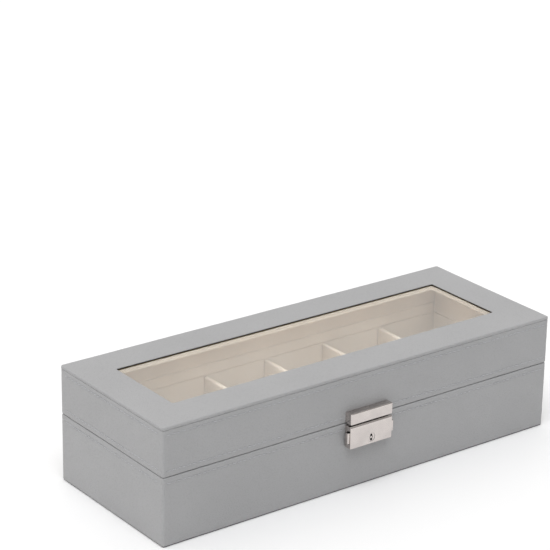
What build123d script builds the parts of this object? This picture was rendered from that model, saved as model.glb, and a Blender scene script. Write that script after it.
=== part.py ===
"""A six-slot glass-topped jewelry and watch case, wrapped in leather and lined with velvet.

Millimetres. +Z is up, X runs along the case, and the lock is on the -Y side.
The origin is the centre of the underside. The case is drawn shut.
"""

import os

from build123d import *

os.makedirs("parts", exist_ok=True)

# ---- Driving dimensions ----

length = 300.0
width = 111.0
height = 77.0
seam_height = 45.0  # where the lid parts from the base
seam_gap = 0.3
corner_radius = 1.5

# Wall build-up, from the outside in: leather, board, turned-in leather, velvet liner
leather = 0.6
board = 4.8
turned_leather = 0.4
liner = 1.7
liner_play = 0.1
turn_in = 14.0  # how far the leather turns in behind the liner

# Base
pad = 0.8
floor_board = 3.0
floor_liner_thickness = 1.2
lip = 0.9  # how far the base liner stands above the seam
divider_thickness = 3.0
divider_pitch = 47.3
divider_count = 5
divider_top = seam_height + 0.6
cushion_width = 43.3
cushion_length = 76.0
cushion_height = 37.5
cushion_centre_y = -5.5  # the cushions lie towards the lock, with finger room behind them

# Lid
cap_leather = 0.5
cap_card = 0.7
cap_edge = 2.0  # how far the top leather turns down over the outer edge
crease = 0.15
glass_thickness = 2.0
glass_overlap = 6.0
glass_play = 0.2
glass_ledge = 1.2
velvet_frame_thickness = 1.8
window_length = 250.6
window_width = 61.0
window_centre_y = 1.0
window_radius = 1.0
lid_lip_gap = 0.4

# Soft hinge: an outer leather strip and an inner velvet strip
hinge_half_height = 8.0
hinge_length = length - 6.0
velvet_hinge_height = 8.0
velvet_hinge_thickness = 0.6

# Lock on the base and strike on the lid
lock_width = 32.6
lock_depth = 5.8
lock_plate = 0.8
lock_wall = 0.8
case_bottom = 29.6
case_top = 44.2
case_top_wall = 1.2
case_bevel = 0.8
strike_bottom = 45.6
strike_top = 52.8
lock_edge_radius = 0.5
plate_inset = 0.2

prong_x = 9.8
prong_width = 5.0
prong_thickness = 0.9
prong_setback = 3.0  # from the lock's face to the front of a prong
prong_end = 36.6
prong_foot_bottom = 47.2
prong_foot_top = 48.6
prong_slot_width = 1.7
prong_slot_length = 5.4
prong_slot_lead = 0.1  # the slots sit forward, because the prongs swing out as they rise

button_reach = 1.7  # how far a button stands out of the lock
button_height = 7.0
button_centre_z = 36.7
button_thickness = 2.3
button_window_margin = 0.8
button_play = 0.1
button_edge_radius = 0.3
shoulder_thickness = 1.1  # the shoulder keeps the button in the case
shoulder_overhang = 0.8
shoulder_depth = 3.2
arm_thickness = 1.2
arm_height = 3.0
catch_x = 5.4
catch_thickness = 1.2

spring_radius = 0.8
spring_wire = 0.2
spring_turns = 8
spring_setback = 1.5

key_z = 33.7
plug_radius = 2.8
plug_play = 0.05
plug_length = 3.6
boss_radius = 3.6
boss_length = 2.1
shank_radius = 1.2
cam_thickness = 0.8
cam_reach = 5.0  # the cam has one arm, which swings up clear of the case's floor
cam_width = 3.2
keyway_radius = 1.15  # the key's hollow end fits here, over the pin
keyway_pin_radius = 0.8
keyway_depth = 2.6
bit_slot_width = 1.6
bit_slot_length = 4.6

screw_radius = 0.85
screw_hole_radius = 0.9
screw_head_radius = 1.8
screw_head = 0.9
screw_length = 5.0
screw_slot_width = 0.5
screw_slot_length = 2.4
screw_slot_depth = 0.5

# ---- Derived places ----

rim = leather + board + turned_leather
liner_outside = rim + liner_play
inside = liner_outside + liner
base_top = seam_height - seam_gap / 2
lid_bottom = seam_height + seam_gap / 2
floor_top = pad + floor_board + floor_liner_thickness
glass_top = height - cap_leather - cap_card
glass_bottom = glass_top - glass_thickness
frame_bottom = glass_bottom - glass_ledge
velvet_bottom = frame_bottom - velvet_frame_thickness
case_front = width / 2 + lock_depth  # distance of the lock's face in front of the origin
plate_front = width / 2 + lock_plate
lock_inside = case_front - lock_wall
front_face = Plane.XZ.offset(width / 2)
window_centre = (0, window_centre_y)
lock_screw_places = [(-8.0, 32.2), (8.0, 32.2)]
strike_screw_places = [(-3.6, 49.4), (3.6, 49.4)]


def save(piece, name):
    """Names a finished piece and writes its STEP file."""
    piece.part.label = name
    export_step(piece.part, f"parts/{name}.step")


def block(low, high):
    """A rectangular solid between two opposite corners, added to the open part."""
    with BuildSketch(Plane.XY.offset(low[2])) as outline:
        with Locations(((low[0] + high[0]) / 2, (low[1] + high[1]) / 2)):
            Rectangle(high[0] - low[0], high[1] - low[1])
    extrude(outline.sketch, amount=high[2] - low[2])


def ring(low_z, high_z, outer_inset, inner_inset):
    """A square-cornered band that follows the case's outline between two insets."""
    with BuildSketch(Plane.XY.offset(low_z)) as outline:
        Rectangle(length - 2 * outer_inset, width - 2 * outer_inset)
        Rectangle(length - 2 * inner_inset, width - 2 * inner_inset, mode=Mode.SUBTRACT)
    extrude(outline.sketch, amount=high_z - low_z)


def outer_skin(low_z, high_z):
    """The leather round the outside, with softened upright corners."""
    with BuildSketch(Plane.XY.offset(low_z)) as outline:
        RectangleRounded(length, width, corner_radius)
        Rectangle(length - 2 * leather, width - 2 * leather, mode=Mode.SUBTRACT)
    extrude(outline.sketch, amount=high_z - low_z)


def front_holes(places, depth):
    """Screw holes drilled from the front face into the open part."""
    with BuildSketch(front_face) as holes:
        with Locations(*places):
            Circle(screw_hole_radius)
    extrude(holes.sketch, amount=-depth, mode=Mode.SUBTRACT)


def hinge_recess(low_z, high_z):
    """Takes the back skin away where the leather hinge strip lies flush in it."""
    with BuildSketch(Plane.XY.offset(low_z)) as strip:
        with Locations((0, (width - leather) / 2)):
            Rectangle(hinge_length, leather)
    extrude(strip.sketch, amount=high_z - low_z, mode=Mode.SUBTRACT)


# ---- Wall boards of the base and of the lid ----


def wall_boards(prefix, low_z, high_z, front_hole_places):
    """Four boards butted at the corners: front and back run full length."""
    outer_x = length / 2 - leather
    outer_y = width / 2 - leather
    for name, side in (("front", -1), ("back", 1)):
        near, far = sorted((side * outer_y, side * (outer_y - board)))
        with BuildPart() as long_wall:
            block((-outer_x, near, low_z), (outer_x, far, high_z))
            if name == "front":
                front_holes(front_hole_places, screw_length - lock_plate)
        save(long_wall, f"{prefix}_{name}_wall")
    for name, side in (("left", -1), ("right", 1)):
        near, far = sorted((side * outer_x, side * (outer_x - board)))
        with BuildPart() as short_wall:
            block((near, board - outer_y, low_z), (far, outer_y - board, high_z))
        save(short_wall, f"{prefix}_{name}_wall")


wall_boards("base", pad, base_top - leather, lock_screw_places)
wall_boards("lid", lid_bottom + leather, frame_bottom, strike_screw_places)


# ---- Velvet-covered liner panels of the base and of the lid ----


def liner_panels(prefix, low_z, high_z):
    """Four thin panels: front and back run full length between the end walls."""
    outer_x = length / 2 - liner_outside
    outer_y = width / 2 - liner_outside
    for name, side in (("front", -1), ("back", 1)):
        near, far = sorted((side * outer_y, side * (outer_y - liner)))
        with BuildPart() as long_panel:
            block((-outer_x, near, low_z), (outer_x, far, high_z))
        save(long_panel, f"{prefix}_{name}_liner")
    for name, side in (("left", -1), ("right", 1)):
        near, far = sorted((side * outer_x, side * (outer_x - liner)))
        with BuildPart() as short_panel:
            block((near, liner - outer_y, low_z), (far, outer_y - liner, high_z))
        save(short_panel, f"{prefix}_{name}_liner")


liner_panels("base", floor_top, seam_height + lip)
liner_panels("lid", seam_height + lip + lid_lip_gap, velvet_bottom)


# ---- Base ----

with BuildPart() as bottom_pad:
    with BuildSketch(Plane.XY):
        RectangleRounded(length - 2 * leather, width - 2 * leather, corner_radius)
    extrude(amount=pad)
save(bottom_pad, "bottom_pad")

wall_inside_x = length / 2 - leather - board
wall_inside_y = width / 2 - leather - board

with BuildPart() as bottom_board:
    block((-wall_inside_x, -wall_inside_y, pad), (wall_inside_x, wall_inside_y, pad + floor_board))
save(bottom_board, "bottom_board")

with BuildPart() as floor_liner:
    block(
        (-wall_inside_x, -wall_inside_y, pad + floor_board),
        (wall_inside_x, wall_inside_y, floor_top),
    )
save(floor_liner, "floor_liner")

with BuildPart() as base_leather:
    outer_skin(pad, base_top)
    ring(base_top - leather, base_top, leather, rim)
    ring(base_top - turn_in, base_top - leather, leather + board, rim)
    hinge_recess(seam_height - hinge_half_height, base_top)
    front_holes(lock_screw_places, leather)
save(base_leather, "base_leather")


def divider(x):
    """An upright velvet-covered partition with a rounded top edge."""
    half = divider_thickness / 2
    reach = width / 2 - inside
    with BuildPart() as partition:
        block((x - half, -reach, floor_top), (x + half, reach, divider_top))
        long_top_edges = partition.edges().filter_by(Axis.Y).group_by(Axis.Z)[-1]
        fillet(long_top_edges, divider_thickness * 0.4)
    return partition


divider_places = [divider_pitch * (i - (divider_count - 1) / 2) for i in range(divider_count)]
for number, place in enumerate(divider_places, start=1):
    save(divider(place), f"divider_{number}")


def cushion(x):
    """A pillow with rolled ends along Y and flat sewn sides."""
    end_radius = 11.0
    foot_radius = 6.0
    side_radius = 2.0
    top = floor_top + cushion_height
    with BuildPart() as pillow:
        with BuildSketch(Plane.YZ.offset(x - cushion_width / 2)) as profile:
            with Locations((cushion_centre_y, (floor_top + top) / 2)):
                Rectangle(cushion_length, cushion_height)
            fillet(profile.vertices().group_by(Axis.Z)[-1], end_radius)
            fillet(profile.vertices().group_by(Axis.Z)[0], foot_radius)
        extrude(amount=cushion_width)
        fillet(pillow.faces().filter_by(Axis.X).edges(), side_radius)
    return pillow


end_compartment_x = (divider_places[-1] + divider_thickness / 2 + length / 2 - inside) / 2
cushion_places = [place + divider_pitch / 2 for place in divider_places[:-1]]
cushion_places = [-end_compartment_x, *cushion_places, end_compartment_x]
for number, place in enumerate(cushion_places, start=1):
    save(cushion(place), f"cushion_{number}")


# ---- Lid ----

lid_side_top = height - cap_edge - crease

with BuildPart() as lid_leather:
    outer_skin(lid_bottom, lid_side_top)
    ring(lid_bottom, lid_bottom + leather, leather, rim)
    ring(lid_bottom + leather, lid_bottom + turn_in, leather + board, rim)
    hinge_recess(lid_bottom, seam_height + hinge_half_height)
    front_holes(strike_screw_places, leather)
save(lid_leather, "lid_leather")


def window_outline(grow, mode=Mode.ADD):
    """The window's round-cornered outline, grown by an even margin, in the open sketch."""
    with Locations(window_centre):
        RectangleRounded(
            window_length + 2 * grow,
            window_width + 2 * grow,
            window_radius + grow,
            mode=mode,
        )


with BuildPart() as lid_frame_board:
    with BuildSketch(Plane.XY.offset(frame_bottom)):
        Rectangle(length - 2 * leather, width - 2 * leather)
        window_outline(cap_leather, Mode.SUBTRACT)
    extrude(amount=glass_top - frame_bottom)
    with BuildSketch(Plane.XY.offset(glass_bottom)):
        window_outline(glass_overlap + glass_play)
    extrude(amount=glass_thickness, mode=Mode.SUBTRACT)
save(lid_frame_board, "lid_frame_board")

with BuildPart() as glass_pane:
    with BuildSketch(Plane.XY.offset(glass_bottom)):
        window_outline(glass_overlap)
    extrude(amount=glass_thickness)
save(glass_pane, "glass_pane")

with BuildPart() as lid_top_card:
    with BuildSketch(Plane.XY.offset(glass_top)):
        Rectangle(length - 2 * leather, width - 2 * leather)
        window_outline(cap_leather, Mode.SUBTRACT)
    extrude(amount=cap_card)
save(lid_top_card, "lid_top_card")

with BuildPart() as lid_top_leather:
    with BuildSketch(Plane.XY.offset(height - cap_leather)):
        RectangleRounded(length, width, corner_radius)
        window_outline(0, Mode.SUBTRACT)
    extrude(amount=cap_leather)
    outer_skin(height - cap_edge, height - cap_leather)
    with BuildSketch(Plane.XY.offset(glass_top)):
        window_outline(cap_leather)
        window_outline(0, Mode.SUBTRACT)
    extrude(amount=cap_card)
    top_face = lid_top_leather.faces().sort_by(Axis.Z)[-1]
    fillet(top_face.edges(), cap_leather * 0.8)
save(lid_top_leather, "lid_top_leather")

with BuildPart() as lid_velvet_frame:
    with BuildSketch(Plane.XY.offset(velvet_bottom)):
        Rectangle(length - 2 * liner_outside, width - 2 * liner_outside)
        window_outline(0, Mode.SUBTRACT)
    extrude(amount=velvet_frame_thickness)
    with BuildSketch(Plane.XY.offset(frame_bottom)):
        window_outline(cap_leather)
        window_outline(0, Mode.SUBTRACT)
    extrude(amount=glass_ledge)
save(lid_velvet_frame, "lid_velvet_frame")


# ---- Soft hinge ----

with BuildPart() as hinge_leather:
    block(
        (-hinge_length / 2, width / 2 - leather, seam_height - hinge_half_height),
        (hinge_length / 2, width / 2, seam_height + hinge_half_height),
    )
save(hinge_leather, "hinge_leather")

velvet_hinge_back = width / 2 - inside - liner_play
with BuildPart() as hinge_velvet:
    block(
        (
            inside - length / 2,
            velvet_hinge_back - velvet_hinge_thickness,
            seam_height + lip,
        ),
        (
            length / 2 - inside,
            velvet_hinge_back,
            seam_height + lip + velvet_hinge_height,
        ),
    )
save(hinge_velvet, "hinge_velvet")


# ---- Lock, on the front of the base ----

lock_half = lock_width / 2
cavity_top = case_top - case_top_wall
cavity_bottom = case_bottom + lock_wall
button_front = lock_inside - button_play
button_back = button_front - button_thickness
button_window_height = button_height + 2 * button_window_margin
shoulder_x = lock_half - lock_wall - button_play
arm_centre_z = button_centre_z + (button_height - arm_height) / 2
prong_front = case_front - prong_setback
prong_back = prong_front - prong_thickness
prong_slot_y = -(prong_front + prong_back) / 2 - prong_slot_lead
plug_front = case_front - button_play
plug_back = plug_front - plug_length
spring_length = 2 * (catch_x - spring_wire)


def back_plate(low_z, high_z, hole_places):
    """The flat steel plate that half of the lock is built on, screwed to the front."""
    block(
        (plate_inset - lock_half, -plate_front, low_z + plate_inset),
        (lock_half - plate_inset, -width / 2, high_z - plate_inset),
    )
    front_holes(hole_places, -lock_plate)


with BuildPart() as lock_back_plate:
    back_plate(case_bottom, case_top, lock_screw_places)
save(lock_back_plate, "lock_back_plate")

with BuildPart() as lock_case:
    block((-lock_half, -case_front, case_bottom), (lock_half, -plate_front, case_top))
    top_front_edge = lock_case.faces().sort_by(Axis.Z)[-1].edges().sort_by(Axis.Y)[0]
    chamfer(top_front_edge, case_bevel)
    fillet(lock_case.edges().filter_by(Axis.Z).group_by(Axis.Y)[0], lock_edge_radius)
    with BuildSketch(Plane.XZ.offset(lock_inside)):
        with Locations((0, (cavity_bottom + cavity_top) / 2)):
            Rectangle(lock_width - 2 * lock_wall, cavity_top - cavity_bottom)
    extrude(amount=plate_front - lock_inside, mode=Mode.SUBTRACT)
    with BuildSketch(Plane.XZ.offset(lock_inside)):
        with Locations((0, key_z)):
            Circle(boss_radius)
    extrude(amount=-boss_length)
    with BuildSketch(Plane.XZ.offset(case_front)):
        with Locations((0, key_z)):
            Circle(plug_radius + plug_play)
    extrude(amount=-lock_depth, mode=Mode.SUBTRACT)
    with BuildSketch(Plane.XY.offset(case_top)):
        with Locations((-prong_x, prong_slot_y), (prong_x, prong_slot_y)):
            SlotOverall(prong_slot_length, prong_slot_width)
    extrude(amount=-case_top_wall, mode=Mode.SUBTRACT)
    with BuildSketch(Plane.YZ.offset(-lock_half)):
        with Locations((-(button_front + button_back) / 2, button_centre_z)):
            Rectangle(button_thickness + 2 * button_play, button_window_height)
    extrude(amount=lock_width, mode=Mode.SUBTRACT)
save(lock_case, "lock_case")


def front_block(x_span, z_span, front, depth):
    """A rectangular solid seen from the front, reaching back from its front face."""
    low_x, high_x = sorted(x_span)
    with BuildSketch(Plane.XZ.offset(front)) as outline:
        with Locations(((low_x + high_x) / 2, (z_span[0] + z_span[1]) / 2)):
            Rectangle(high_x - low_x, z_span[1] - z_span[0])
    extrude(outline.sketch, amount=-depth)


def around(centre, size):
    """The two ends of a span."""
    return (centre - size / 2, centre + size / 2)


arm_span = around(arm_centre_z, arm_height)

for side, sign in (("left", -1), ("right", 1)):
    with BuildPart() as button:
        front_block(
            (sign * shoulder_x, sign * (lock_half + button_reach)),
            around(button_centre_z, button_height),
            button_front,
            button_thickness,
        )
        outer_face = button.faces().sort_by(Axis.X)[0 if sign < 0 else -1]
        fillet(outer_face.edges(), button_edge_radius)
        front_block(
            (sign * (shoulder_x - shoulder_thickness), sign * shoulder_x),
            around(button_centre_z, button_window_height + 2 * shoulder_overhang),
            button_front,
            shoulder_depth,
        )
        front_block((sign * catch_x, sign * shoulder_x), arm_span, button_front, arm_thickness)
        front_block(
            (sign * catch_x, sign * (catch_x + catch_thickness)),
            arm_span,
            button_front,
            shoulder_depth,
        )
    save(button, f"button_{side}")

with BuildPart() as lock_spring:
    with BuildLine():
        coil = Helix(
            pitch=spring_length / spring_turns,
            height=spring_length,
            radius=spring_radius,
            center=(-spring_length / 2, spring_setback - button_front, arm_centre_z),
            direction=(1, 0, 0),
        )
    with BuildSketch(Plane(origin=coil @ 0, z_dir=coil % 0)):
        Circle(spring_wire)
    sweep()
save(lock_spring, "lock_spring")

with BuildPart() as key_plug:
    with BuildSketch(Plane.XZ.offset(plug_front)):
        with Locations((0, key_z)):
            Circle(plug_radius)
    extrude(amount=-plug_length)
    with BuildSketch(Plane.XZ.offset(plug_back)):
        with Locations((0, key_z)):
            Circle(shank_radius)
    extrude(amount=-cam_thickness)
    with BuildSketch(Plane.XZ.offset(plug_front)):
        with Locations((0, key_z)):
            Circle(keyway_radius)
            SlotOverall(bit_slot_length, bit_slot_width, rotation=90)
            Circle(keyway_pin_radius, mode=Mode.SUBTRACT)
    extrude(amount=-keyway_depth, mode=Mode.SUBTRACT)
save(key_plug, "key_plug")

with BuildPart() as key_cam:
    with BuildSketch(Plane.XZ.offset(plug_back)):
        with Locations(((cam_width / 2 - cam_reach) / 2, key_z)):
            SlotOverall(cam_reach + cam_width / 2, cam_width)
        with Locations((0, key_z)):
            Circle(shank_radius, mode=Mode.SUBTRACT)
    extrude(amount=-cam_thickness)
save(key_cam, "key_cam")


def cross_screws(places):
    """Small cross-headed wood screws whose heads sit on a back plate."""
    head_front = plate_front + screw_head
    with BuildSketch(Plane.XZ.offset(plate_front)) as heads:
        with Locations(*places):
            Circle(screw_head_radius)
    extrude(heads.sketch, amount=screw_head)
    with BuildSketch(Plane.XZ.offset(plate_front)) as shanks:
        with Locations(*places):
            Circle(screw_radius)
    extrude(shanks.sketch, amount=-screw_length)
    with BuildSketch(Plane.XZ.offset(head_front)) as crosses:
        with Locations(*places):
            Rectangle(screw_slot_width, screw_slot_length)
            Rectangle(screw_slot_length, screw_slot_width)
    extrude(crosses.sketch, amount=-screw_slot_depth, mode=Mode.SUBTRACT)


with BuildPart() as lock_screws:
    cross_screws(lock_screw_places)
save(lock_screws, "lock_screws")

with BuildPart() as strike_screws:
    cross_screws(strike_screw_places)
save(strike_screws, "strike_screws")


# ---- Strike, on the front of the lid ----

with BuildPart() as strike_plate:
    back_plate(strike_bottom, strike_top, strike_screw_places)
    for centre in (-prong_x, prong_x):
        prong_span = around(centre, prong_width)
        front_block(
            prong_span,
            (prong_foot_bottom, prong_foot_top),
            prong_front,
            prong_front - plate_front,
        )
        front_block(prong_span, (prong_end, prong_foot_top), prong_front, prong_thickness)
save(strike_plate, "strike_plate")

with BuildPart() as strike_cap:
    block((-lock_half, -case_front, strike_bottom), (lock_half, -plate_front, strike_top))
    fillet(strike_cap.edges().filter_by(Axis.Z).group_by(Axis.Y)[0], lock_edge_radius)
    top_edges = strike_cap.faces().sort_by(Axis.Z)[-1].edges()
    fillet(top_edges.group_by(Axis.Y)[0], lock_edge_radius)
    with BuildSketch(Plane.XZ.offset(lock_inside)):
        with Locations((0, (strike_bottom + strike_top - lock_wall) / 2)):
            Rectangle(lock_width - 2 * lock_wall, strike_top - lock_wall - strike_bottom)
    extrude(amount=plate_front - lock_inside, mode=Mode.SUBTRACT)
save(strike_cap, "strike_cap")
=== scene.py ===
"""The looks of a six-slot glass-topped jewelry and watch case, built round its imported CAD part.

Metres, in the part's own frame: +Z is up, X runs along the case, and the lock is on the -Y side.
"""

import math
import random

import bmesh
import bpy
from mathutils import Matrix, Vector, noise
from mathutils.bvhtree import BVHTree


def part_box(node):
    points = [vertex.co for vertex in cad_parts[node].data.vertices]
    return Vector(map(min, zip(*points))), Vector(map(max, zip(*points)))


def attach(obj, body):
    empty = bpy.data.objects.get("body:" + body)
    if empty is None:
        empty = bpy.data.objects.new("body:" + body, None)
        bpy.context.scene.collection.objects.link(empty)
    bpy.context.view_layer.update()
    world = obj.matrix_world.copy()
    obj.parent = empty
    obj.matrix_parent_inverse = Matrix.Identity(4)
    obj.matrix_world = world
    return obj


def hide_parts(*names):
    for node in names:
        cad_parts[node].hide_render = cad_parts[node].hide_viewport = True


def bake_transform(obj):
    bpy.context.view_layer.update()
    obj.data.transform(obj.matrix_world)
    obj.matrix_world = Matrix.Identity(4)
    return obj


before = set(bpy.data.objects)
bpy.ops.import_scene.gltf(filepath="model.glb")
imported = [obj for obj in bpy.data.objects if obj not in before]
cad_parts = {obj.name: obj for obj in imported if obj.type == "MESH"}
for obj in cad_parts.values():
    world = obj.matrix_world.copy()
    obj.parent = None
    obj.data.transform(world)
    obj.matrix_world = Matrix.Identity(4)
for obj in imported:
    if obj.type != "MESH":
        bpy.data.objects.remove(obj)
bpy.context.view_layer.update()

MM = 0.001
scene = bpy.context.scene


# ---- Camera ----

VIEW_AZIMUTH = math.radians(-37.03)
VIEW_ELEVATION = math.radians(21.1)
VIEW_ROLL = 0.017
VIEW_AIM = Vector((0.0053, 0.0465, 0.1046))
VIEW_DISTANCE = 1.4487
LENS = 148.6  # mm, on a sensor 36 mm wide


def make_camera():
    """Looks down at the case from its front left, through a long lens."""
    back = Vector((
        math.sin(VIEW_AZIMUTH) * math.cos(VIEW_ELEVATION),
        -math.cos(VIEW_AZIMUTH) * math.cos(VIEW_ELEVATION),
        math.sin(VIEW_ELEVATION),
    ))
    level = Vector((math.cos(VIEW_AZIMUTH), math.sin(VIEW_AZIMUTH), 0))
    right = level * math.cos(VIEW_ROLL) + back.cross(level) * math.sin(VIEW_ROLL)
    turned = Matrix((right, back.cross(right), back)).transposed()
    camera = bpy.data.objects.new("camera", bpy.data.cameras.new("camera"))
    camera.data.sensor_width = 36
    camera.data.lens = LENS
    camera.data.clip_start = 0.05
    camera.matrix_world = Matrix.Translation(VIEW_AIM + back * VIEW_DISTANCE) @ turned.to_4x4()
    scene.collection.objects.link(camera)
    scene.camera = camera


make_camera()


# ---- Materials ----


class Finish:
    """A node material: a Principled shader, and short calls that add nodes in front of it."""

    def __init__(self, name, **inputs):
        self.material = bpy.data.materials.new(name)
        self.material.use_nodes = True
        self.tree = self.material.node_tree
        self.shader = self.tree.nodes["Principled BSDF"]
        self.place = self.add("TexCoord").outputs["Object"]
        self.set(**inputs)

    def feed(self, socket, value):
        """Links a socket to another, or gives it a plain value."""
        if isinstance(value, bpy.types.NodeSocket):
            self.tree.links.new(value, socket)
        else:
            socket.default_value = value

    def set(self, **inputs):
        """Sets inputs of the Principled shader, named with underscores for spaces."""
        for name, value in inputs.items():
            self.feed(self.shader.inputs[name.replace("_", " ")], value)

    def add(self, kind, settings=None, **inputs):
        """Adds a node, with its settings and its inputs."""
        node = self.tree.nodes.new("ShaderNode" + kind)
        for name, value in (settings or {}).items():
            setattr(node, name, value)
        for name, value in inputs.items():
            self.feed(node.inputs[name.replace("_", " ")], value)
        return node

    def noise(self, scale, detail=2.0, roughness=0.5, stretch=(1, 1, 1)):
        """Soft noise from 0 to 1 with scale features to the metre, stretched along the axes."""
        place = self.add("Mapping", Vector=self.place, Scale=stretch).outputs["Vector"]
        node = self.add("TexNoise", Vector=place, Scale=scale, Detail=detail, Roughness=roughness)
        return node.outputs["Fac"]

    def span(self, value, low, high, first=0.3, last=0.7):
        """Stretches a value between first and last to run from low to high."""
        inputs = {"Value": value, "From_Min": first, "From_Max": last, "To_Min": low, "To_Max": high}
        return self.add("MapRange", **inputs).outputs["Result"]

    def blend(self, share, first, second):
        """A colour between two, by share."""
        node = self.add("Mix", {"data_type": "RGBA"})
        self.feed(node.inputs["Factor"], share)
        self.feed(node.inputs[6], first)
        self.feed(node.inputs[7], second)
        return node.outputs[2]

    def shaded(self, tone, share):
        """A colour darkened or lightened by a share."""
        node = self.add("Mix", {"data_type": "RGBA", "blend_type": "MULTIPLY"}, Factor=1.0)
        self.feed(node.inputs[6], tone)
        self.feed(node.inputs[7], share)
        return node.outputs[2]

    def maths(self, operation, first, second):
        """Two values put together by one operation."""
        node = self.add("Math", {"operation": operation})
        self.feed(node.inputs[0], first)
        self.feed(node.inputs[1], second)
        return node.outputs[0]

    def bump(self, height, depth, strength=1.0, under=None):
        """Relief of that depth in metres, laid over the relief under it."""
        node = self.add("Bump", Height=height, Distance=depth, Strength=strength)
        if under is not None:
            self.feed(node.inputs["Normal"], under)
        return node.outputs["Normal"]


def colour(red, green, blue):
    """A screen colour, 0 to 255, as the linear colour that shaders take."""
    return (*((c / 255) ** 2.2 for c in (red, green, blue)), 1.0)


def leather_finish():
    """Matt grey leathercloth with a fine pebble grain, faint shading from the roller, and painted shade
    darkening the grain's hollows.
    """
    finish = Finish("leather", Specular_IOR_Level=0.4)
    cloudy = finish.span(finish.noise(14, 4), 0.0, 1.0)
    tone = finish.blend(cloudy, colour(165, 165, 166), colour(170, 170, 171))
    wander = finish.add("TexNoise", Vector=finish.place, Scale=900, Detail=2.0)
    shift = finish.add("VectorMath", {"operation": "SCALE"}, Vector=wander.outputs["Color"], Scale=0.7 * MM)
    bent = finish.add("VectorMath", {"operation": "ADD"})
    finish.feed(bent.inputs[0], finish.place)
    finish.feed(bent.inputs[1], shift.outputs[0])
    smooth_cells = {"feature": "SMOOTH_F1"}
    cells = finish.add("TexVoronoi", smooth_cells, Vector=bent.outputs[0], Scale=1150, Smoothness=0.5)
    pebble = finish.span(cells.outputs["Distance"], 1.0, 0.0, 0.1, 0.8)
    # Painted shade: the colour is multiplied down to 0.94 in the grain's hollows, the low places of the
    # pebble relief that the bump draws.
    hollow_shade = finish.span(pebble, 0.94, 1.0, 0.0, 0.45)
    finish.set(Base_Color=finish.shaded(tone, hollow_shade))
    finish.set(Roughness=finish.span(finish.noise(60, 3), 0.5, 0.62))
    pores = finish.bump(finish.noise(5200, 2), 0.03 * MM, 0.5)
    finish.set(Normal=finish.bump(pebble, 0.13 * MM, 0.8, pores))
    return finish.material


def velvet_finish(name, red, green, blue):
    """Short-pile beige velvet: soft sheen, and patches where the pile lies another way."""
    finish = Finish(name, Roughness=0.95, Specular_IOR_Level=0.15)
    finish.set(Sheen_Weight=0.35, Sheen_Roughness=0.45, Sheen_Tint=colour(255, 243, 228))
    brushed = finish.span(finish.noise(26, 3, 0.6, (1, 1, 0.5)), 0.0, 1.0)
    nap = finish.blend(brushed, colour(red - 7, green - 8, blue - 9), colour(red + 4, green + 4, blue + 4))
    fibres = finish.span(finish.noise(3200, 3, 0.7), 0.9, 1.06)
    finish.set(Base_Color=finish.shaded(nap, fibres))
    lie = finish.bump(brushed, 0.25 * MM, 0.35)
    finish.set(Normal=finish.bump(finish.noise(2600, 3, 0.7), 0.12 * MM, 0.6, lie))
    return finish.material


def metal_finish(name, tone, low, high, brushing):
    """Bright plated metal with faint brushing along X and uneven polish."""
    finish = Finish(name, Metallic=1.0)
    haze = finish.noise(160, 3)
    lines = finish.noise(brushing, 2, 0.6, (0.02, 1, 1))
    dull = tuple(0.9 * c for c in tone[:3]) + (1.0,)
    finish.set(Base_Color=finish.blend(finish.span(haze, 0.0, 1.0), dull, tone))
    polish = finish.span(haze, low, high)
    finish.set(Roughness=finish.maths("MULTIPLY", polish, finish.span(lines, 0.85, 1.2)))
    finish.set(Normal=finish.bump(lines, 0.008 * MM, 0.4))
    return finish.material


def fibrous_finish(name, dark, light, scale, depth):
    """Felt, board, card or a raw casting, by its two tones and the size of its texture."""
    finish = Finish(name, Roughness=0.95, Specular_IOR_Level=0.2)
    tufts = finish.noise(scale, 4, 0.7)
    finish.set(Base_Color=finish.blend(finish.span(tufts, 0.0, 1.0), dark, light))
    finish.set(Normal=finish.bump(tufts, depth, 0.8))
    return finish.material


def thread_finish():
    """Grey polyester thread, a shade lighter than the leather, with its twist, and painted shade and
    highlight along the turns.
    """
    finish = Finish("thread", Roughness=0.6, Sheen_Weight=0.2)
    twist = finish.add("TexWave", {"bands_direction": "DIAGONAL"}, Vector=finish.place, Scale=1100)
    strands = twist.outputs["Fac"]
    # Painted shade and highlight: the colour runs from darker in the twist's grooves to lighter on its
    # crests, by the same bands that the bump raises.
    finish.set(Base_Color=finish.blend(strands, colour(167, 168, 171), colour(190, 191, 194)))
    finish.set(Normal=finish.bump(strands, 0.05 * MM, 0.7))
    return finish.material


def glass_finish():
    """Clear float glass with a faint film of dust, which lets lamps light what is under it."""
    finish = Finish("glass", Base_Color=(0.94, 0.985, 0.978, 1), Transmission_Weight=1.0, IOR=1.5)
    finish.set(Roughness=finish.span(finish.noise(35, 3), 0.0, 0.02))
    clear = finish.add("BsdfTransparent", Color=(0.98, 0.99, 0.985, 1))
    dust = finish.add("BsdfDiffuse", Color=(0.95, 0.93, 0.9, 1))
    filmed = finish.add("MixShader")
    finish.feed(filmed.inputs[0], finish.span(finish.noise(20, 3), 0.03, 0.045))
    finish.feed(filmed.inputs[1], finish.shader.outputs[0])
    finish.feed(filmed.inputs[2], dust.outputs[0])
    shadow = finish.add("LightPath").outputs["Is Shadow Ray"]
    mixed = finish.add("MixShader")
    finish.feed(mixed.inputs[0], shadow)
    finish.feed(mixed.inputs[1], filmed.outputs[0])
    finish.feed(mixed.inputs[2], clear.outputs[0])
    out = finish.tree.nodes["Material Output"]
    finish.feed(out.inputs["Surface"], mixed.outputs[0])
    return finish.material


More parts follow.
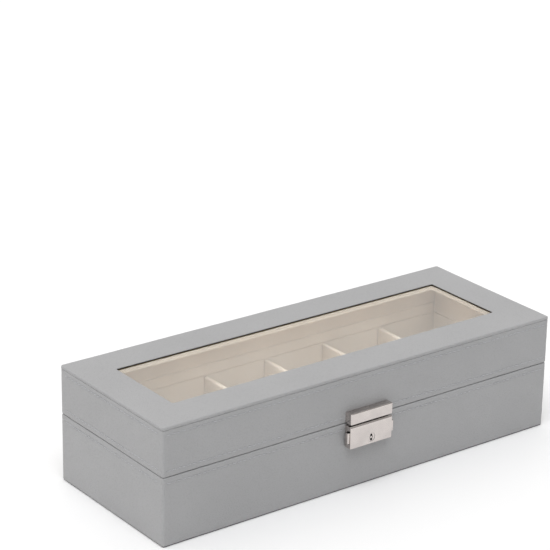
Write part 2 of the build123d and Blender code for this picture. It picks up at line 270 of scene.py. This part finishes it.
LEATHER = leather_finish()
VELVET = velvet_finish("velvet", 236, 218, 202)
PILLOW_VELVET = velvet_finish("cushion_velvet", 237, 219, 203)
NICKEL = metal_finish("nickel", (0.67, 0.62, 0.595, 1), 0.12, 0.24, 2600)
STEEL = metal_finish("steel", (0.56, 0.57, 0.58, 1), 0.28, 0.42, 1400)
# Near-black metal for the lock's bores, slots and cavities: painted shade there, not a steel the parts are
# made of.
RECESS_SHADE_STEEL = metal_finish("recess_painted_shade_steel", (0.03, 0.028, 0.026, 1), 0.5, 0.65, 1400)
CASTING = fibrous_finish("casting", (0.5, 0.48, 0.46, 1), (0.62, 0.6, 0.57, 1), 1100, 0.02 * MM)
BOARD = fibrous_finish("fibreboard", colour(138, 112, 82), colour(172, 146, 112), 900, 0.1 * MM)
# The card under the top leather shows only in the gap between the leather's turned edge and the glass: its
# dark tone is partly the card's own colour and partly painted shade in that gap.
CARD_AND_GAP_SHADE = fibrous_finish("card_and_gap_shade", colour(56, 52, 47), colour(80, 75, 68), 1800, 0.05 * MM)
FELT = fibrous_finish("felt", colour(92, 92, 94), colour(128, 128, 130), 1500, 0.3 * MM)
THREAD = thread_finish()
GLASS = glass_finish()


def repaint(finish, *nodes):
    """Gives CAD nodes that stay as they are a better material."""
    for node in nodes:
        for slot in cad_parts[node].material_slots:
            slot.material = finish


sides = ("front", "back", "left", "right")
walls = [f"{part}_{side}_wall" for part in ("base", "lid") for side in sides]
repaint(BOARD, "bottom_board", "lid_frame_board", *walls)
# Partly painted shade: the top card's dark tone also darkens the gap above the glass.
repaint(CARD_AND_GAP_SHADE, "lid_top_card")
repaint(GLASS, "glass_pane")


# ---- Mesh making ----


def new_piece(name, verts, faces, finish, slot, body=None, smooth=True):
    """A mesh object whose faces point outwards, riding on a body unless it will bend."""
    mesh = bpy.data.meshes.new(name)
    mesh.from_pydata(verts, [], faces)
    work = bmesh.new()
    work.from_mesh(mesh)
    bmesh.ops.recalc_face_normals(work, faces=work.faces)
    work.to_mesh(mesh)
    work.free()
    mesh.materials.append(finish)
    mesh.polygons.foreach_set("use_smooth", [smooth] * len(mesh.polygons))
    piece = bpy.data.objects.new(name, mesh)
    scene.collection.objects.link(piece)
    if body:
        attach(piece, body)
    return piece


def push(piece, amount):
    """Moves each vertex along its normal by amount(its place, its normal)."""
    moves = [v.normal * amount(v.co, v.normal) for v in piece.data.vertices]
    for vertex, move in zip(piece.data.vertices, moves):
        vertex.co += move
    piece.data.update()


def unevenness(height, pitch, seed):
    """A gentle waviness for push: its height, and the distance between its waves."""
    offset = Vector((seed * 7.3, seed * 3.1, seed * 5.7))

    def amount(place, _normal):
        return height * noise.noise(place / pitch + offset)

    return amount


def outline(corners, step, bends=5):
    """Points round a closed path of corners (u, v, ease): eased corners, and runs divided by step."""
    rounds = []
    for i, (u, v, ease) in enumerate(corners):
        here = Vector((u, v))
        before = Vector(corners[i - 1][:2])
        after = Vector(corners[(i + 1) % len(corners)][:2])
        start = here + (before - here).normalized() * ease
        end = here + (after - here).normalized() * ease
        shares = [k / bends for k in range(bends + 1)] if ease else [0]
        rounds.append([start.lerp(here, t).lerp(here.lerp(end, t), t) for t in shares])
    points = []
    for i, bend in enumerate(rounds):
        points += bend
        start, end = bend[-1], rounds[(i + 1) % len(rounds)][0]
        parts = max(1, round((end - start).length / step))
        points += [start.lerp(end, k / parts) for k in range(1, parts)]
    return points


def loop(half_x, half_y, radius, counts, centre_y=0.0):
    """Points round a round-cornered rectangle. The same counts give the same number of points."""
    along, across, arc = counts
    corners = []
    for quarter, (side_x, side_y) in enumerate(((1, -1), (1, 1), (-1, 1), (-1, -1))):
        centre = Vector((side_x * (half_x - radius), centre_y + side_y * (half_y - radius)))
        first = math.radians(90 * quarter - 90)
        turns = [first + math.radians(90) * k / arc for k in range(arc + 1)]
        corners.append([centre + radius * Vector((math.cos(a), math.sin(a))) for a in turns])
    points = []
    for quarter, corner in enumerate(corners):
        points += corner
        start, end = corner[-1], corners[(quarter + 1) % 4][0]
        parts = across if quarter % 2 == 0 else along
        points += [start.lerp(end, k / parts) for k in range(1, parts)]
    return points


def stacked(rings):
    """Vertices and faces of a closed skin through rings of points, the last joined to the first."""
    size = len(rings[0])
    verts = [point for ring in rings for point in ring]
    faces = []
    for i in range(len(rings)):
        here, there = i * size, (i + 1) % len(rings) * size
        for k in range(size):
            nearby = (k + 1) % size
            faces.append((here + k, here + nearby, there + nearby, there + k))
    return verts, faces


SHARPEST = 0.05 * MM  # the smallest corner radius of a ring


def rings_at_insets(profile, half_x, half_y, radius, counts, centre_y=0.0):
    """A ring for each (inset, height) of a profile, inset from a round-cornered rectangle."""
    rings = []
    for inset, z in profile:
        corner = max(radius - inset, SHARPEST)
        flat = loop(half_x - inset, half_y - inset, corner, counts, centre_y)
        rings.append([(x, y, z) for x, y in flat])
    return rings


def rounded_block(low, high, radius, step):
    """Vertices and faces of a closed block with rounded edges and corners."""
    low, high = Vector(low), Vector(high)
    spans = []
    for a, b in zip(low, high):
        parts = max(1, round((b - a - 2 * radius) / step))
        middle = [a + radius + (b - a - 2 * radius) * k / parts for k in range(parts + 1)]
        edge = [radius * (1 - math.tan(math.radians(45) * k / 3)) for k in range(3, 0, -1)]
        spans.append([a + e for e in edge] + middle + [b - e for e in reversed(edge)])
    inner_low = low + Vector((radius,) * 3)
    inner_high = high - Vector((radius,) * 3)
    index, verts, faces = {}, [], []

    def vertex(i, j, k):
        if (i, j, k) not in index:
            place = Vector((spans[0][i], spans[1][j], spans[2][k]))
            core = Vector([min(max(p, a), b) for p, a, b in zip(place, inner_low, inner_high)])
            index[i, j, k] = len(verts)
            verts.append(core + (place - core).normalized() * radius)
        return index[i, j, k]

    for axis in range(3):
        u, v = [a for a in range(3) if a != axis]
        for end in (0, len(spans[axis]) - 1):
            for p in range(len(spans[u]) - 1):
                for q in range(len(spans[v]) - 1):
                    face = []
                    for dp, dq in ((0, 0), (1, 0), (1, 1), (0, 1)):
                        cell = [0, 0, 0]
                        cell[axis], cell[u], cell[v] = end, p + dp, q + dq
                        face.append(vertex(*cell))
                    faces.append(face)
    return verts, faces


# ---- Leather ----

base_low, base_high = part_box("base_leather")
lid_low, lid_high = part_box("lid_leather")
cap_low, cap_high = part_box("lid_top_leather")
rim_liner_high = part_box("base_back_liner")[1]
half_length = base_high.x
half_width = base_high.y
seam = (base_high.z + lid_low.z) / 2
corner_radius = 1.5 * MM
skin = 0.6 * MM
turned_skin = 0.4 * MM
rim = half_width - rim_liner_high.y - 0.1 * MM  # from the outside to the face of the turned-in leather
turn_in = 14 * MM
RING_COUNTS = (330, 122, 6)

stitch_pitch = 3.6 * MM
base_row = seam - 4.0 * MM
lid_low_row = seam + 4.0 * MM
lid_high_row = lid_high.z - 3.0 * MM

hinge_low, hinge_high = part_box("hinge_leather")
strip_bed = 0.35 * MM  # how deep the hinge strip lies in the back skin
lock_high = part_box("lock_case")[1]


def around_row(z):
    """Closely spaced heights on both sides of a stitched row."""
    return [(0, z + offset * MM, 0) for offset in (-1.3, -0.75, -0.4, -0.15, 0.15, 0.4, 0.75, 1.3)]


def stitch_groove(row):
    """How a row of stitches draws the leather in, deepest at the needle holes."""

    def amount(place, normal):
        if abs(normal.z) > 0.5:
            return 0.0
        along = place.x if abs(normal.y) > 0.5 else place.y
        nearness = math.exp(-(((place.z - row) / (0.45 * MM)) ** 2))
        pull = 0.6 + 0.4 * math.cos(2 * math.pi * along / stitch_pitch)
        return -0.18 * MM * nearness * pull

    return amount


def strip_recess(place, normal):
    """The shallow bed of the leather hinge strip across the back skin."""
    if normal.y < 0.5 or place.y < half_width - skin / 2:
        return 0.0
    margin = min(place.z - hinge_low.z, hinge_high.z - place.z, hinge_high.x - abs(place.x))
    share = min(max(margin / (0.4 * MM) + 0.5, 0.0), 1.0)
    return -strip_bed * share


def leather_skin(name, body, corners, rows, seed):
    """A leather skin wrapped round four sides, from its cross-section (inset, height, ease)."""
    profile = outline(corners, 3.2 * MM)
    rings = rings_at_insets(profile, half_length, half_width, corner_radius, RING_COUNTS)
    piece = new_piece(name, *stacked(rings), LEATHER, "leather")
    push(piece, strip_recess)
    for row in rows:
        push(piece, stitch_groove(row))
    push(piece, unevenness(0.10 * MM, 34 * MM, seed))
    push(piece, unevenness(0.04 * MM, 7 * MM, seed + 1))
    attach(piece, body)
    return piece


base_skin = leather_skin(
    "base_leather_wrap",
    "base",
    [
        (0, base_low.z, 0.5 * MM),
        *around_row(base_row),
        (0, base_high.z, 0.9 * MM),
        (rim, base_high.z, 0.8 * MM),
        (rim, base_high.z - turn_in, 0),
        (rim - turned_skin, base_high.z - turn_in, 0),
        (rim - turned_skin, base_high.z - skin, 0),
        (skin, base_high.z - skin, 0),
        (skin, base_low.z, 0),
    ],
    [base_row],
    1,
)
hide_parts("base_leather")

lid_skin = leather_skin(
    "lid_leather_wrap",
    "lid",
    [
        (0, lid_low.z, 0.9 * MM),
        *around_row(lid_low_row),
        *around_row(lid_high_row),
        (0, lid_high.z, 0.3 * MM),
        (skin, lid_high.z, 0),
        (skin, lid_low.z + skin, 0),
        (rim - turned_skin, lid_low.z + skin, 0),
        (rim - turned_skin, lid_low.z + turn_in, 0),
        (rim, lid_low.z + turn_in, 0),
        (rim, lid_low.z, 0.8 * MM),
    ],
    [lid_low_row, lid_high_row],
    4,
)
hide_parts("lid_leather")

# The window's outline, from the card under the top leather and the velvet frame below it
window_half_x = 125.3 * MM
window_half_y = 30.5 * MM
window_y = 1.0 * MM
window_radius = 1.0 * MM
WINDOW_COUNTS = (300, 110, 8)


def frame_rings(outer, inner, parts, half_x, half_y, radius):
    """Rings across a flat frame, from a profile at its outside to one at the window.

    Outer is (inset, height) from the outside, inner is (inset, height) from the window's edge,
    negative over the frame, and the run between them is divided into parts.
    """
    outside = rings_at_insets(outer, half_x, half_y, radius, WINDOW_COUNTS)
    window = (window_half_x, window_half_y, window_radius, WINDOW_COUNTS, window_y)
    inside = rings_at_insets(inner, *window)
    start, end = outside[-1], inside[0]
    between = []
    for k in range(1, parts):
        share = k / parts
        between.append([Vector(a).lerp(Vector(b), share) for a, b in zip(start, end)])
    return outside + between + inside


def eased(corner_from, corner, corner_to, steps=6):
    """A quarter bend from one (inset, height) to another, round the corner between them."""
    a, b, c = Vector(corner_from), Vector(corner), Vector(corner_to)
    return [a.lerp(b, k / steps).lerp(b.lerp(c, k / steps), k / steps) for k in range(steps + 1)]


def top_leather():
    """The leather over the lid's top: down over the outer edge, and turned in round the window."""
    top, bottom = cap_high.z, cap_low.z
    under = top - 0.5 * MM
    lip = top - 0.55 * MM
    outer_ease, window_ease = 0.8 * MM, 0.45 * MM
    outer = [(skin, under), (skin, bottom), (0.15 * MM, bottom), (0, bottom + 0.15 * MM)]
    outer += eased((0, top - outer_ease), (0, top), (outer_ease, top))
    inner = [(-1.5 * MM, top)]
    inner += eased((-window_ease, top), (0, top), (0, top - window_ease))
    inner += [(-0.1 * MM, lip), (-0.5 * MM, under)]
    rings = frame_rings(outer, inner, 14, half_length, half_width, corner_radius)
    piece = new_piece("lid_top_leather_wrap", *stacked(rings), LEATHER, "leather")
    push(piece, unevenness(0.12 * MM, 30 * MM, 8))
    push(piece, unevenness(0.05 * MM, 6 * MM, 9))
    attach(piece, "lid")
    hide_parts("lid_top_leather")


top_leather()


# ---- Stitching ----

NO_GAP = (1, -1)  # a skipped span that nothing lies in
row_end = 2 * MM  # from a face's end to the nearest stitch, or more


def stitch(start, end, outward):
    """One stitch: a fat thread that rises from one needle hole and dives into the next."""
    sides_of_thread, rings = 8, 6
    along = end - start
    across = outward.cross(along).normalized()
    verts, faces = [], []
    for i in range(rings + 1):
        share = i / rings
        bulge = math.sin(math.pi * share)
        centre = start + along * share + outward * (0.22 * bulge - 0.12) * MM
        wide = (0.1 + 0.21 * bulge ** 0.5) * MM
        for k in range(sides_of_thread):
            angle = 2 * math.pi * k / sides_of_thread
            verts.append(centre + across * wide * math.cos(angle) + outward * wide * 0.8 * math.sin(angle))
    for i in range(rings):
        for k in range(sides_of_thread):
            nearby = (k + 1) % sides_of_thread
            here, there = i * sides_of_thread, (i + 1) * sides_of_thread
            faces.append((here + k, here + nearby, there + nearby, there + k))
    faces.append(tuple(range(sides_of_thread)))
    faces.append(tuple(range(rings * sides_of_thread, (rings + 1) * sides_of_thread)))
    return verts, faces


def stitch_run(centre, direction, outward, reach, skipped, luck):
    """Stitches along a straight run, leaving out those whose middle is in the skipped span."""
    parts = []
    count = int(reach // stitch_pitch)
    for i in range(-count, count):
        middle = (i + 0.5) * stitch_pitch
        if skipped[0] < middle < skipped[1]:
            continue
        wobble = Vector((0, 0, luck.uniform(-0.05, 0.05) * MM))
        half = direction * (stitch_pitch / 2 - 0.3 * MM)
        place = centre + direction * middle
        parts.append(stitch(place - half - wobble, place + half + wobble, outward))
    return parts


def stitched_row(z, seed, with_back, lock_gap):
    """A row of stitches at one height round the front and sides, and the back if asked."""
    luck = random.Random(seed)
    ahead, aside = Vector((1, 0, 0)), Vector((0, 1, 0))
    front_gap = (-lock_gap, lock_gap) if lock_gap else NO_GAP
    front = Vector((0, -half_width, z))
    runs = stitch_run(front, ahead, -aside, half_length - row_end, front_gap, luck)
    for side in (-1, 1):
        end = Vector((side * half_length, 0, z))
        runs += stitch_run(end, aside, side * ahead, half_width - row_end, NO_GAP, luck)
    if with_back:
        back = Vector((0, half_width, z))
        runs += stitch_run(back, ahead, aside, half_length - row_end, NO_GAP, luck)
    return runs


def stitching(name, body, runs):
    """Joins stitches into one piece of thread on a body."""
    verts, faces = [], []
    for more_verts, more_faces in runs:
        faces += [tuple(len(verts) + index for index in face) for face in more_faces]
        verts += more_verts
    new_piece(name, verts, faces, THREAD, "leather", body)


lock_gap = lock_high.x + 1.5 * MM
strip_face = half_width + 0.1 * MM
strip_row = 1.6 * MM  # from the hinge strip's edges to its stitches


def strip_stitches(z, seed):
    """A row across the hinge strip on the back."""
    centre = Vector((0, strip_face, z))
    reach = hinge_high.x - row_end
    return stitch_run(centre, Vector((1, 0, 0)), Vector((0, 1, 0)), reach, NO_GAP, random.Random(seed))


stitching("base_stitches", "base", stitched_row(base_row, 11, False, lock_gap))
lid_runs = stitched_row(lid_low_row, 12, False, lock_gap) + stitched_row(lid_high_row, 13, True, None)
stitching("lid_stitches", "lid", lid_runs)
stitching("hinge_stitches_low", "base", strip_stitches(hinge_low.z + strip_row, 14))
stitching("hinge_stitches_high", "lid", strip_stitches(hinge_high.z - strip_row, 15))


# ---- Velvet lining ----


def lining(node, radius, seed, body, step=3.0 * MM, wave=0.12 * MM):
    """A velvet-covered panel in a CAD panel's place, with soft edges and a slightly uneven face."""
    low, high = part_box(node)
    piece = new_piece(f"{node}_velvet", *rounded_block(low, high, radius, step), VELVET, "velvet")
    push(piece, unevenness(wave, 24 * MM, seed))
    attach(piece, body)
    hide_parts(node)


for number, side in enumerate(sides):
    lining(f"base_{side}_liner", 0.55 * MM, 20 + number, "base")
    lining(f"lid_{side}_liner", 0.5 * MM, 30 + number, "lid")
for number in range(1, 6):
    lining(f"divider_{number}", 1.1 * MM, 40 + number, "base", 2.5 * MM, 0.18 * MM)
lining("floor_liner", 0.4 * MM, 50, "base", 4.0 * MM)


def velvet_frame():
    """The velvet-covered frame under the window, with its upstand round the glass."""
    low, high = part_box("lid_velvet_frame")
    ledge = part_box("lid_frame_board")[0].z
    upstand = 0.5 * MM
    ease = 0.9 * MM
    outer = [(0, ledge), (0, low.z + 0.5 * MM)]
    outer += eased((0, low.z + 0.5 * MM), (0, low.z), (0.5 * MM, low.z), 3)[1:]
    inner = [(-3 * MM, low.z)]
    inner += eased((-ease, low.z), (0, low.z), (0, low.z + ease))
    inner += [(0, high.z - 0.8 * MM), (0, high.z - 0.2 * MM), (-0.15 * MM, high.z)]
    inner += [(-upstand, high.z), (-upstand, ledge)]
    rings = frame_rings(outer, inner, 12, high.x, high.y, SHARPEST)
    piece = new_piece("lid_frame_velvet", *stacked(rings), VELVET, "velvet")
    push(piece, unevenness(0.12 * MM, 24 * MM, 60))
    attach(piece, "lid")
    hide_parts("lid_velvet_frame")


velvet_frame()


# ---- Soft hinge ----


def strip_piece(name, line, half_thickness, half_reach, finish, slot, step):
    """A strip along X from its side view: points (y, z), each with half a thickness there."""
    count = len(line)
    normals = []
    for i in range(count):
        tangent = Vector(line[min(i + 1, count - 1)]) - Vector(line[max(i - 1, 0)])
        normals.append(Vector((-tangent.y, tangent.x)).normalized())
    front = [Vector(p) + n * t for p, n, t in zip(line, normals, half_thickness)]
    back = [Vector(p) - n * t for p, n, t in zip(line, normals, half_thickness)]
    section = front + back[::-1]
    size = len(section)
    parts = round(2 * half_reach / step)
    verts, faces = [], []
    for i in range(parts + 1):
        x = half_reach * (2 * i / parts - 1)
        verts += [(x, y, z) for y, z in section]
    for i in range(parts):
        for k in range(size):
            nearby = (k + 1) % size
            faces.append((i * size + k, i * size + nearby, (i + 1) * size + nearby, (i + 1) * size + k))
    for i in (0, parts):
        for k in range(count - 1):
            a, b = i * size + k, i * size + size - 1 - k
            faces.append((a, a + 1, b - 1, b))
    return new_piece(name, verts, faces, finish, slot)


def leather_hinge():
    """The leather strip that joins base and lid across the back."""
    reach = hinge_high.z - seam
    inner = half_width - strip_bed + 0.05 * MM
    middle = (inner + strip_face) / 2
    shares = (0.02, 0.05, 0.09, 0.14, 0.2, 0.28, 0.4, 0.55, 0.7, 0.85, 0.95, 0.985, 1)
    below = [seam - reach * share for share in reversed(shares)]
    heights = below + [seam] + [seam + reach * share for share in shares]
    full = (strip_face - inner) / 2
    thickness = [full * (0.45 if abs(z - seam) > 0.99 * reach else 1) for z in heights]
    line = [(middle, z) for z in heights]
    half_reach = hinge_high.x - 0.2 * MM
    strip = strip_piece("hinge_strip_leather", line, thickness, half_reach, LEATHER, "leather", 1.5 * MM)
    push(strip, unevenness(0.06 * MM, 9 * MM, 70))
    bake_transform(strip)
    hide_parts("hinge_leather")


leather_hinge()


def share_height(share):
    low, high = 0.0, 1.0
    for _ in range(30):
        middle = (low + high) / 2
        if middle * middle * (3 - 2 * middle) < share:
            low = middle
        else:
            high = middle
    return low


def velvet_hinge():
    """The velvet strip inside, folded between the rims as it lies with the lid shut; the real strip
    stretches across the rims as the lid opens.
    """
    cover_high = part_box("hinge_velvet")[1]
    lip_face = rim_liner_high.y + 0.12 * MM
    gap_low, gap_high = base_high.z + 0.03 * MM, lid_low.z - 0.03 * MM
    fold_depth = 1.5 * MM
    line, thickness = [], []
    steps = 22
    for k in range(steps + 1):
        share = k / steps
        reach = math.sin(math.pi * share) ** 0.8 if 0 < share < 1 else 0.0
        height = gap_low + (gap_high - gap_low) * share_height(share)
        line.append((lip_face + fold_depth * reach, height))
        thickness.append(0.04 * MM)
    lid_liner_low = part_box("lid_back_liner")[0].z
    between = (rim_liner_high.z + lid_liner_low) / 2 + 0.02 * MM
    face = cover_high.y - 0.05 * MM
    turn = [
        (lip_face, between - 0.3 * MM, 0.05 * MM),
        (lip_face - 0.3 * MM, between, 0.08 * MM),
        ((lip_face + face) / 2, between, 0.1 * MM),
        (face + 0.1 * MM, between, 0.12 * MM),
        (face - 0.12 * MM, between + 0.25 * MM, 0.22 * MM),
        (face - 0.22 * MM, between + 0.9 * MM, 0.28 * MM),
    ]
    for y, z, half in turn:
        line.append((y, z))
        thickness.append(half)
    rise = cover_high.z - line[-1][1]
    for half in (0.26 * MM, 0.22 * MM, 0.16 * MM, 0.1 * MM, 0.04 * MM):
        line.append((face + 0.06 * MM - half, line[-1][1] + rise / 5))
        thickness.append(half)
    half_reach = cover_high.x - 0.1 * MM
    strip = strip_piece("hinge_strip_velvet", line, thickness, half_reach, VELVET, "velvet", 3.0 * MM)
    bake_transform(strip)
    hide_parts("hinge_velvet")


velvet_hinge()


# ---- Cushions ----


def pillow_start(low, high):
    """A pillow before it is stuffed: its cloth wraps round along Y, between two flat sewn sides."""
    middle = (low + high) / 2
    half = (high - low) / 2
    around, edge, power = 72, 1.2 * MM, 6.5
    turns = (0, 0.5, 1.0, math.pi / 2)
    rounding = [(half.x - edge * (1 - math.sin(a)), edge * (1 - math.cos(a))) for a in turns]
    outward = [(0, 0), (half.x / 3, 0), (2 * half.x / 3, 0)] + rounding
    stations = [(-x, inset) for x, inset in reversed(outward[1:])] + outward
    verts, faces = [], []
    for x, inset in stations:
        for k in range(around):
            angle = 2 * math.pi * k / around
            y, z = math.cos(angle), math.sin(angle)
            wide = (half.y - inset) * math.copysign(abs(y) ** (2 / power), y)
            tall = (half.z - inset) * math.copysign(abs(z) ** (2 / power), z)
            verts.append(middle + Vector((x, wide, tall)))
    for i in range(len(stations) - 1):
        for k in range(around):
            nearby = (k + 1) % around
            here, there = i * around, (i + 1) * around
            faces.append((here + k, here + nearby, there + nearby, there + k))
    faces.append(tuple(range(around)))
    faces.append(tuple(range(len(verts) - around, len(verts))))
    return verts, faces


def stuff(piece, cap):
    """Swells a piece by cloth simulation under pressure, each point by at most cap."""
    bpy.context.view_layer.objects.active = piece
    remesh = piece.modifiers.new("remesh", "REMESH")
    remesh.mode = "VOXEL"
    remesh.voxel_size = 3.0 * MM
    bpy.ops.object.modifier_apply(modifier=remesh.name)
    before = [v.co.copy() for v in piece.data.vertices]
    cloth = piece.modifiers.new("cloth", "CLOTH")
    cloth.settings.quality = 6
    cloth.settings.mass = 0.2
    cloth.settings.use_pressure = True
    cloth.settings.uniform_pressure_force = 4.0
    cloth.settings.tension_stiffness = 20
    cloth.settings.compression_stiffness = 20
    cloth.settings.shear_stiffness = 8
    cloth.settings.bending_stiffness = 1.5
    cloth.settings.effector_weights.gravity = 0
    for step in range(1, 21):
        scene.frame_set(step)
    bpy.ops.object.modifier_apply(modifier=cloth.name)
    scene.frame_set(1)
    for vertex, start in zip(piece.data.vertices, before):
        move = vertex.co - start
        if move.length > cap:
            vertex.co = start + move * (cap / move.length)
    smooth = piece.modifiers.new("subdivide", "SUBSURF")
    smooth.levels = smooth.render_levels = 1
    bpy.ops.object.modifier_apply(modifier=smooth.name)


seam_inset = 1.8 * MM  # from a pillow's sewn side to its seam


def side_seam(piece, side, low, high):
    """A narrow seam round one sewn side of a pillow, laid on the pillow's own surface."""
    tree = BVHTree.FromPolygons(
        [v.co for v in piece.data.vertices],
        [tuple(p.vertices) for p in piece.data.polygons],
    )
    middle = (low + high) / 2
    half = (high - low) / 2
    x = middle.x + side * (half.x - seam_inset)
    count, sides_of_seam = 120, 6
    centres = []
    for k in range(count):
        angle = 2 * math.pi * k / count
        aim = Vector((x, middle.y + 2 * half.y * math.cos(angle), middle.z + 2 * half.z * math.sin(angle)))
        inside = Vector((x, middle.y, middle.z))
        hit = tree.ray_cast(aim, (inside - aim).normalized())[0]
        centres.append(hit if hit is not None else aim)
    verts, faces = [], []
    radius = 0.42 * MM
    for k, centre in enumerate(centres):
        along = (centres[(k + 1) % count] - centres[k - 1]).normalized()
        across = Vector((1, 0, 0))
        outward = along.cross(across).normalized()
        for j in range(sides_of_seam):
            angle = 2 * math.pi * j / sides_of_seam
            verts.append(centre + across * radius * math.cos(angle) + outward * radius * math.sin(angle))
    for k in range(count):
        here, there = k * sides_of_seam, (k + 1) % count * sides_of_seam
        for j in range(sides_of_seam):
            nearby = (j + 1) % sides_of_seam
            faces.append((here + j, here + nearby, there + nearby, there + j))
    return verts, faces


def cushion(number):
    """One stuffed velvet pillow in its slot."""
    node = f"cushion_{number}"
    low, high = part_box(node)
    tuck = Vector((0.1, 1.0, 0.8)) * MM
    crown = Vector((0, 0, 0.9)) * MM
    verts, faces = pillow_start(low + tuck, high - tuck + crown)
    piece = new_piece(f"{node}_pillow", verts, faces, PILLOW_VELVET, "cushion_velvet")
    push(piece, unevenness(0.7 * MM, 26 * MM, 80 + number))
    stuff(piece, 3.5 * MM)
    push(piece, unevenness(0.4 * MM, 13 * MM, 90 + number))
    middle = (low.x + high.x) / 2
    reach = (high.x - low.x) / 2 + 0.4 * MM  # its sides swell until they touch the dividers
    give = 2.5 * MM  # how far in from there the sides begin to flatten
    for vertex in piece.data.vertices:
        over = abs(vertex.co.x - middle) - (reach - give)
        if over > 0:
            held = reach - give * math.exp(-over / give)
            vertex.co.x = middle + math.copysign(held, vertex.co.x - middle)
        vertex.co.z = max(vertex.co.z, low.z)
    piece.data.polygons.foreach_set("use_smooth", [True] * len(piece.data.polygons))
    for name, side in (("left", -1), ("right", 1)):
        seam_piece = new_piece(
            f"{node}_{name}_seam", *side_seam(piece, side, low, high), PILLOW_VELVET, "cushion_velvet"
        )
        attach(seam_piece, node)
    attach(piece, node)
    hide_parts(node)


for number in range(1, 7):
    cushion(number)


# ---- Lock ----


def recessed(face, low, high):
    """Whether a face lies inside a part's box, as in a bore, a slot or a cavity, and isn't a bevel."""
    place = face.calc_center_median()
    depth = min(min(place - low), min(high - place))
    bevelled = abs(face.normal.y) > 0.3 and abs(face.normal.z) > 0.3
    return depth > 0.25 * MM and not bevelled


def softened(node, width, body, inside=RECESS_SHADE_STEEL, underside=False):
    """A plated part in its CAD shape, with its edges broken and another finish on its recessed faces: by
    default a near-black metal that is painted shade in its bores, slots and cavities.
    """
    work = bmesh.new()
    work.from_mesh(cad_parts[node].data)
    bmesh.ops.remove_doubles(work, verts=work.verts, dist=0.001 * MM)
    bmesh.ops.dissolve_limit(work, angle_limit=math.radians(2), verts=work.verts, edges=work.edges)
    sharp = [e for e in work.edges if len(e.link_faces) == 2 and e.calc_face_angle(0) > math.radians(40)]
    bmesh.ops.bevel(
        work,
        geom=sharp,
        offset=width,
        segments=2,
        profile=0.5,
        affect="EDGES",
        clamp_overlap=True,
    )
    bmesh.ops.triangulate(work, faces=[f for f in work.faces if len(f.verts) > 4])
    low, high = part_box(node)
    # Recessed faces, and the underside when asked, take the inside finish; by default that finish is
    # painted shade.
    for face in work.faces:
        under = underside and face.normal.z < -0.9
        face.material_index = 1 if under or recessed(face, low, high) else 0
    mesh = bpy.data.meshes.new(f"{node}_finished")
    work.to_mesh(mesh)
    work.free()
    mesh.materials.append(NICKEL)
    mesh.materials.append(inside)
    mesh.polygons.foreach_set("use_smooth", [True] * len(mesh.polygons))
    mesh.set_sharp_from_angle(angle=math.radians(32))
    piece = bpy.data.objects.new(f"{node}_finished", mesh)
    scene.collection.objects.link(piece)
    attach(piece, body)
    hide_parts(node)


softened("lock_case", 0.14 * MM, "base")
softened("lock_back_plate", 0.1 * MM, "base")
softened("strike_cap", 0.14 * MM, "lid", inside=CASTING, underside=True)
softened("strike_plate", 0.1 * MM, "lid", inside=NICKEL)
softened("button_left", 0.1 * MM, "button_left")
softened("button_right", 0.1 * MM, "button_right")
softened("key_plug", 0.08 * MM, "key_plug")
repaint(STEEL, "key_cam", "lock_spring", "lock_screws", "strike_screws")


# ---- Underside ----


def felt_pad():
    """The felt under the case, with a soft edge and a worn, uneven face."""
    low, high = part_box("bottom_pad")
    piece = new_piece("bottom_felt", *rounded_block(low, high, 0.35 * MM, 3.0 * MM), FELT, "felt")
    push(piece, unevenness(0.06 * MM, 5 * MM, 100))
    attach(piece, "base")
    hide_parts("bottom_pad")


felt_pad()


# ---- Studio ----


def dome():
    """A studio dome: bright overhead and towards the back, and dim low down in front."""
    world = bpy.data.worlds.new("studio")
    world.use_nodes = True
    tree = world.node_tree
    direction = tree.nodes.new("ShaderNodeTexCoord").outputs["Generated"]
    towards = tree.nodes.new("ShaderNodeVectorMath")
    towards.operation = "DOT_PRODUCT"
    tree.links.new(direction, towards.inputs[0])
    towards.inputs[1].default_value = (-0.1, 0.5, 0.86)
    ramp = tree.nodes.new("ShaderNodeValToRGB")
    ramp.color_ramp.elements[0].position = 0.0
    ramp.color_ramp.elements[0].color = (0.2, 0.198, 0.195, 1)
    ramp.color_ramp.elements[1].position = 1.0
    ramp.color_ramp.elements[1].color = (1.0, 0.985, 0.965, 1)
    tree.links.new(towards.outputs["Value"], ramp.inputs["Fac"])
    sky = tree.nodes["Background"]
    tree.links.new(ramp.outputs["Color"], sky.inputs["Color"])
    sky.inputs["Strength"].default_value = 1.06
    scene.world = world


def floor_and_lamp():
    """A pale floor, and one broad cool light from above the front left."""
    finish = Finish("floor", Roughness=0.9, Specular_IOR_Level=0.1)
    finish.set(Base_Color=finish.blend(finish.noise(3, 2), colour(249, 249, 249), colour(252, 252, 252)))
    reach = 8.0
    corners = [(-reach, -reach, 0), (reach, -reach, 0), (reach, reach, 0), (-reach, reach, 0)]
    mesh = bpy.data.meshes.new("floor")
    mesh.from_pydata(corners, [], [(0, 1, 2, 3)])
    mesh.materials.append(finish.material)
    floor = bpy.data.objects.new("floor", mesh)
    scene.collection.objects.link(floor)
    light = bpy.data.lights.new("key", "SUN")
    light.energy = 1.5
    light.angle = math.radians(50)
    light.color = (0.96, 0.975, 1.0)
    key = bpy.data.objects.new("key", light)
    key.rotation_mode = "QUATERNION"
    key.rotation_quaternion = Vector((0.26, 0.36, -0.9)).to_track_quat("-Z", "Y")
    scene.collection.objects.link(key)


dome()
floor_and_lamp()
scene.view_settings.view_transform = "Standard"
